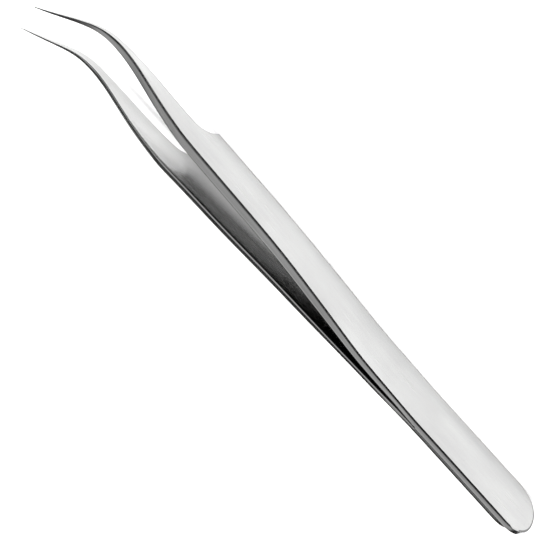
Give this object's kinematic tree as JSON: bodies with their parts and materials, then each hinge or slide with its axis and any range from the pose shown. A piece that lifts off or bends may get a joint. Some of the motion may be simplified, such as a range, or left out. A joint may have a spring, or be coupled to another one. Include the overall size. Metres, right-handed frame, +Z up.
{
  "type": "fine-point curved tweezers",
  "caption": "Fine-point tweezers with curved tips: two sprung steel arms welded at the tail, with a stepped shank and needle tips, for planting and trimming in small tanks.",
  "frame": {"origin": "middle of the bounding box's underside, the plane that the lower edges of both arms rest on", "axes": "+X from the tail to the tips, +Z up towards the side that the tips curve to, +Y towards the left arm; the arms open along Y and mirror about y = 0"},
  "size_m": [0.1181, 0.0096, 0.0112],
  "materials": {
    "brushed_blade": "satin stainless steel, brushed along the arms, with polished edges",
    "weld_metal": "dull grey spot weld, hidden in the seam"
  },
  "bodies": {
    "tail": {"right_arm_rear": "brushed_blade", "left_arm_rear": "brushed_blade", "weld_rear": "weld_metal", "weld_middle": "weld_metal", "weld_front": "weld_metal"},
    "right_arm": {"right_arm_blade": "brushed_blade"},
    "left_arm": {"left_arm_blade": "brushed_blade"}
  },
  "joints": [
    {"name": "right_arm_flex", "type": "hinge", "parent": "tail", "child": "right_arm", "pos_m": [-0.0231, -0.00086, 0.00439], "axis": [0, 0, 1], "range_deg": [0, 1.92], "stiffness_Nm_per_rad": 2},
    {"name": "left_arm_flex", "type": "hinge", "parent": "tail", "child": "left_arm", "pos_m": [-0.0231, 0.00086, 0.00439], "axis": [0, 0, -1], "range_deg": [0, 1.92], "stiffness_Nm_per_rad": 2}
  ]
}
